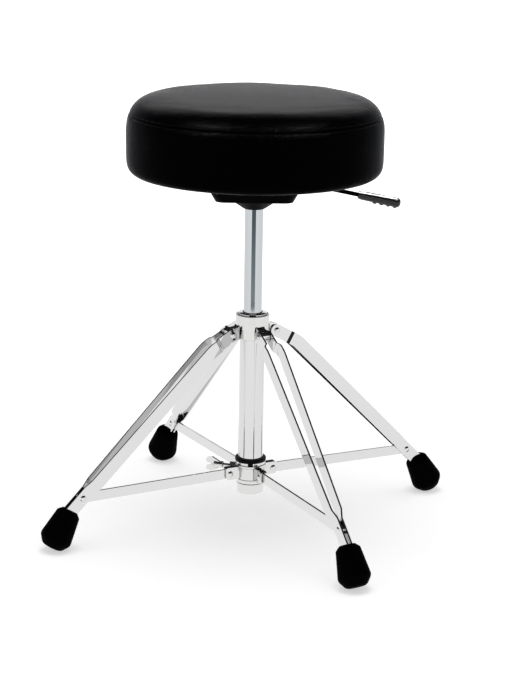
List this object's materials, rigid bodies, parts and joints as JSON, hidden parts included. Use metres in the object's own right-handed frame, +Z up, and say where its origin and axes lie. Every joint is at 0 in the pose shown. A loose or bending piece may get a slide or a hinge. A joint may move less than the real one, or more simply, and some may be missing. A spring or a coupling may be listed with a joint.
{
  "type": "drum throne",
  "caption": "Round padded stool seat on a gas spring that swivels and lifts, over a folding double-braced stand with rubber feet.",
  "frame": {"origin": "on the floor under the column, at the middle of the four feet", "axes": "+Z up along the column; the legs point along +X, +Y, -X and -Y"},
  "size_m": [0.6412, 0.6412, 0.61],
  "materials": {
    "chrome": "bright chrome plate over steel",
    "steel": "ground and drawn steel",
    "zinc": "zinc-plated fasteners",
    "aluminium": "machined",
    "nylon": "black moulded nylon",
    "black_paint": "black powder coat",
    "grip_plastic": "black moulded grip",
    "rubber": "black moulded rubber",
    "seal_rubber": "nitrile seal",
    "plywood": "birch plywood",
    "foam": "moulded polyurethane foam",
    "lining": "black spun cloth",
    "vinyl": "black leather-grain vinyl"
  },
  "bodies": {
    "column": {"column_tube": "chrome", "top_collar": "chrome", "collar_cap": "chrome", "guide_bush": "nylon", "hinge_pins": "steel", "end_cap": "chrome", "bearing_washer": "steel"},
    "slider": {"lower_collar": "chrome", "lower_bush": "nylon", "ear_rivets": "chrome", "clamp_pad": "nylon"},
    "wing_screw": {"wing_screw": "chrome"},
    "rod": {"piston_rod": "steel", "bearing_race": "steel", "bearing_balls": "steel", "rod_clip": "steel", "piston": "aluminium", "piston_seal": "seal_rubber"},
    "seat": {"gas_cylinder": "chrome", "cylinder_gland": "steel", "valve_body": "aluminium", "seat_socket": "black_paint", "seat_bracket": "black_paint", "lever_carrier": "black_paint", "lever_pin": "steel", "seat_bolts": "zinc", "tee_nuts": "zinc", "dust_cover": "lining", "seat_board": "plywood", "seat_foam": "foam", "seat_cover": "vinyl"},
    "lever": {"lever_rod": "black_paint", "lever_grip": "grip_plastic"},
    "valve_pin": {"valve_pin": "steel"},
    "strut_1": {"strut_1": "chrome"},
    "leg_1": {"leg_1_bar_a": "chrome", "leg_1_bar_b": "chrome", "leg_1_foot": "rubber", "leg_1_rivets": "chrome"},
    "strut_2": {"strut_2": "chrome"},
    "leg_2": {"leg_2_bar_a": "chrome", "leg_2_bar_b": "chrome", "leg_2_foot": "rubber", "leg_2_rivets": "chrome"},
    "strut_3": {"strut_3": "chrome"},
    "leg_3": {"leg_3_bar_a": "chrome", "leg_3_bar_b": "chrome", "leg_3_foot": "rubber", "leg_3_rivets": "chrome"},
    "strut_4": {"strut_4": "chrome"},
    "leg_4": {"leg_4_bar_a": "chrome", "leg_4_bar_b": "chrome", "leg_4_foot": "rubber", "leg_4_rivets": "chrome"}
  },
  "joints": [
    {"name": "fold", "type": "slide", "parent": "column", "child": "slider", "axis": [0, 0, 1], "range_m": [0, 0.1243]},
    {"name": "wing_turn", "type": "hinge", "parent": "slider", "child": "wing_screw", "pos_m": [-0.03182, 0.03182, 0.0765], "axis": [-0.7071, 0.7071, 0], "continuous": true},
    {"name": "swivel", "type": "hinge", "parent": "column", "child": "rod", "pos_m": [0, 0, 0.05], "axis": [0, 0, 1], "continuous": true},
    {"name": "lift", "type": "slide", "parent": "rod", "child": "seat", "axis": [0, 0, 1], "range_m": [-0.14, 0]},
    {"name": "lever_pull", "type": "hinge", "parent": "seat", "child": "lever", "pos_m": [0.0319, -0.01668, 0.49], "axis": [0.4633, 0.8862, 0], "range_deg": [-4.5, 0], "stiffness_Nm_per_rad": 8, "springref_deg": 4.58},
    {"name": "valve_press", "type": "slide", "parent": "seat", "child": "valve_pin", "axis": [0, 0, -1], "range_m": [0, 0.003]},
    {"name": "strut_1_turn", "type": "hinge", "parent": "slider", "child": "strut_1", "pos_m": [0.0345, 0, 0.073], "axis": [0, 1, 0], "range_deg": [0, 86.85]},
    {"name": "leg_1_turn", "type": "hinge", "parent": "strut_1", "child": "leg_1", "pos_m": [0.261, 0, 0.07], "axis": [0, 1, 0], "range_deg": [-41.35, 0]},
    {"name": "strut_2_turn", "type": "hinge", "parent": "slider", "child": "strut_2", "pos_m": [0, 0.0345, 0.073], "axis": [-1, 0, 0], "range_deg": [0, 86.85]},
    {"name": "leg_2_turn", "type": "hinge", "parent": "strut_2", "child": "leg_2", "pos_m": [0, 0.261, 0.07], "axis": [-1, 0, 0], "range_deg": [-41.35, 0]},
    {"name": "strut_3_turn", "type": "hinge", "parent": "slider", "child": "strut_3", "pos_m": [-0.0345, 0, 0.073], "axis": [0, -1, 0], "range_deg": [0, 86.85]},
    {"name": "leg_3_turn", "type": "hinge", "parent": "strut_3", "child": "leg_3", "pos_m": [-0.261, 0, 0.07], "axis": [0, -1, 0], "range_deg": [-41.35, 0]},
    {"name": "strut_4_turn", "type": "hinge", "parent": "slider", "child": "strut_4", "pos_m": [0, -0.0345, 0.073], "axis": [1, 0, 0], "range_deg": [0, 86.85]},
    {"name": "leg_4_turn", "type": "hinge", "parent": "strut_4", "child": "leg_4", "pos_m": [0, -0.261, 0.07], "axis": [1, 0, 0], "range_deg": [-41.35, 0]}
  ],
  "couplings": [
    {"joint": "valve_press", "follows": "lever_pull", "m_per_rad": -0.036},
    {"joint": "strut_1_turn", "follows": "fold", "rad_per_m": 12.189},
    {"joint": "leg_1_turn", "follows": "fold", "rad_per_m": -5.8},
    {"joint": "strut_2_turn", "follows": "fold", "rad_per_m": 12.189},
    {"joint": "leg_2_turn", "follows": "fold", "rad_per_m": -5.8},
    {"joint": "strut_3_turn", "follows": "fold", "rad_per_m": 12.189},
    {"joint": "leg_3_turn", "follows": "fold", "rad_per_m": -5.8},
    {"joint": "strut_4_turn", "follows": "fold", "rad_per_m": 12.189},
    {"joint": "leg_4_turn", "follows": "fold", "rad_per_m": -5.8}
  ]
}
